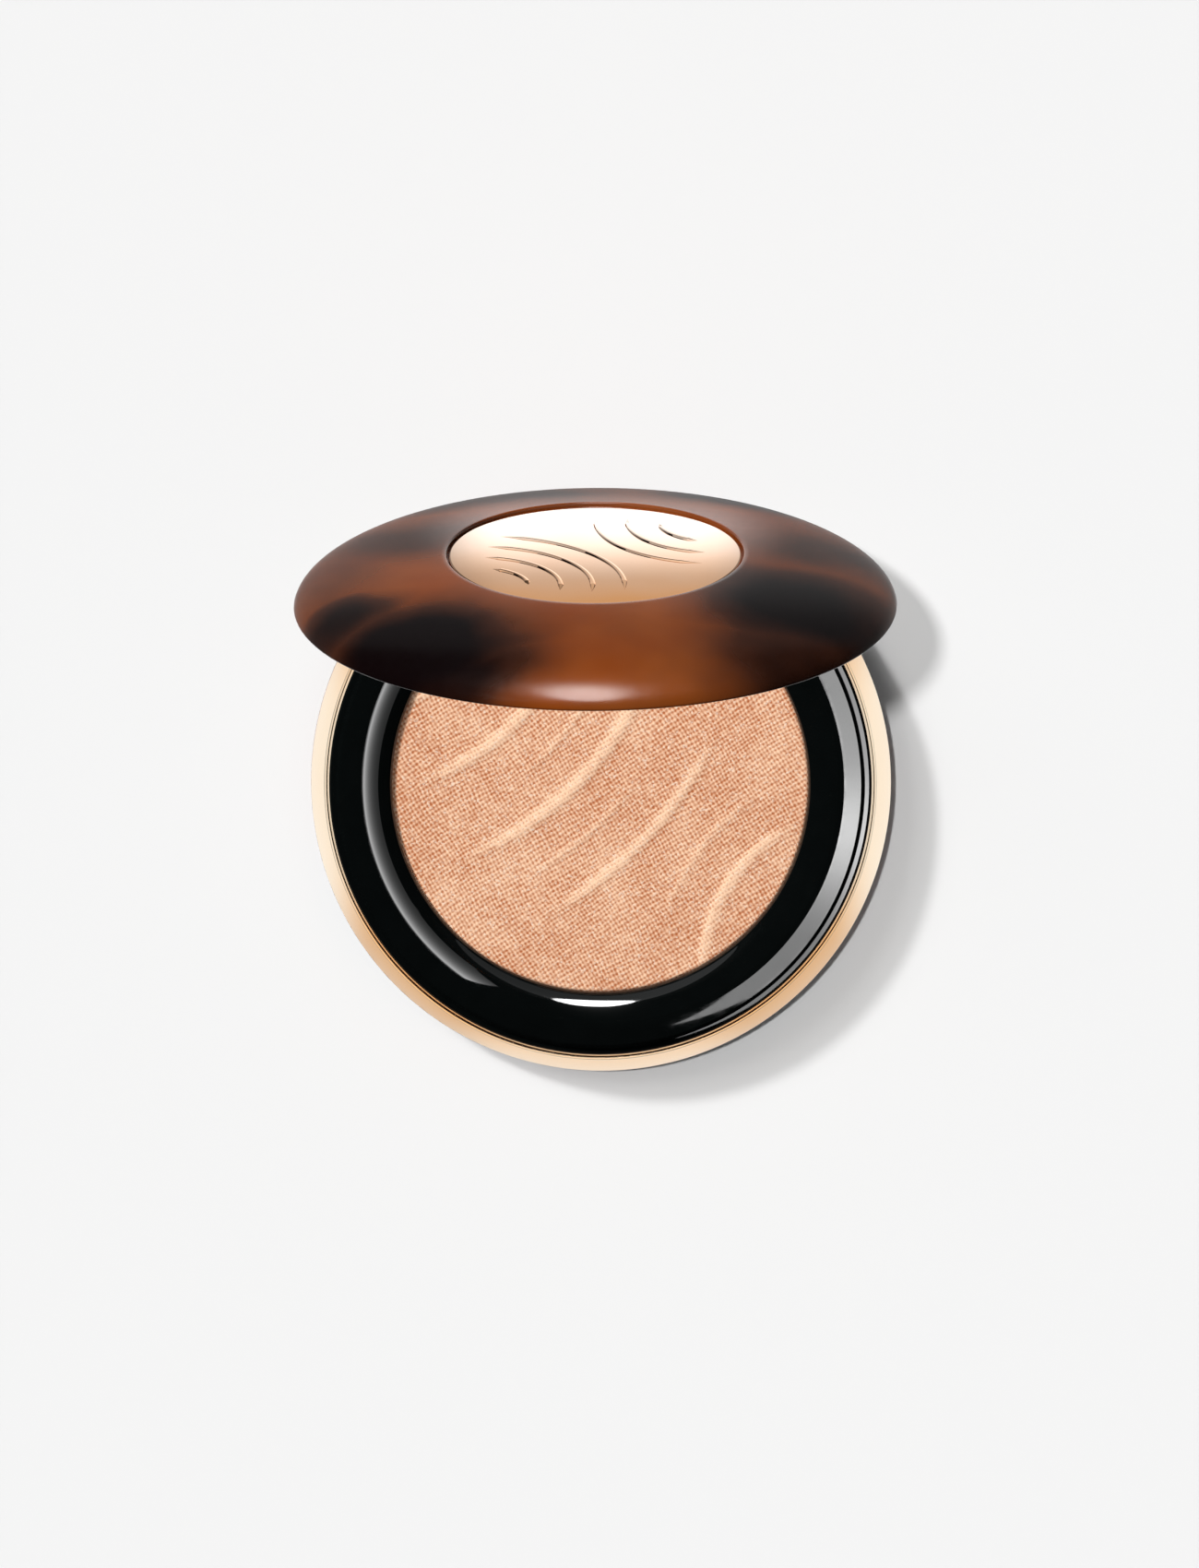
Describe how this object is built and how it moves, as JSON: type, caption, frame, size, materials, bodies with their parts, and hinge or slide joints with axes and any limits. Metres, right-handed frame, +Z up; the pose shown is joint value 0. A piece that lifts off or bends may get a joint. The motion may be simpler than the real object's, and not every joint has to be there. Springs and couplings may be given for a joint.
{
  "type": "powder compact",
  "caption": "Round powder compact with a domed tortoiseshell-look lid, gilt band, gloss ring round pressed powder, mirror and friction-held rear hinge.",
  "frame": {"origin": "centre of the base's flat underside, on the surface it stands on", "axes": "+Z up out of the powder, -Y towards the lid's free edge when closed (the front), +Y towards the hinge, +X to the right seen from above with the hinge at the top; the lid's hinge axis is parallel to X"},
  "size_m": [0.0804, 0.0813, 0.0849],
  "materials": {
    "tortoise": "satin gloss brown plastic with soft dark clouds",
    "band_gold": "polished gold metallised plastic",
    "medallion_gold": "mirror-polished rose gold anodised sheet",
    "gloss_black": "piano gloss black",
    "inner_plastic": "moulded black",
    "powder": "pressed pearl powder with a cloth imprint",
    "pan_aluminium": "drawn, bare",
    "steel": "plain",
    "magnet_nickel": "nickel plated magnet",
    "mirror_glass": "back-silvered glass",
    "adhesive_tape": "double-sided tape",
    "washer_nylon": "black nylon",
    "label_paper": "blank coated paper"
  },
  "bodies": {
    "base": {"base_shell": "tortoise", "base_band": "band_gold", "bezel": "gloss_black", "powder_pan": "pan_aluminium", "pressed_powder": "powder", "pan_glue_pad": "adhesive_tape", "pan_tray": "inner_plastic", "weight_plate": "steel", "base_magnet_left": "magnet_nickel", "base_magnet_right": "magnet_nickel", "base_label": "label_paper", "hinge_pin": "steel", "hinge_washer_left": "washer_nylon", "hinge_washer_right": "washer_nylon"},
    "lid": {"lid_shell": "tortoise", "lid_medallion": "medallion_gold", "medallion_tape": "adhesive_tape", "lid_liner": "gloss_black", "lid_mirror": "mirror_glass", "mirror_tape": "adhesive_tape", "lid_keeper_left": "steel", "lid_keeper_right": "steel"}
  },
  "joints": [
    {"name": "lid_hinge", "type": "hinge", "parent": "base", "child": "lid", "pos_m": [0, 0.0378, 0.0105], "axis": [-1, 0, 0], "range_deg": [-72.5, 47.5]}
  ]
}
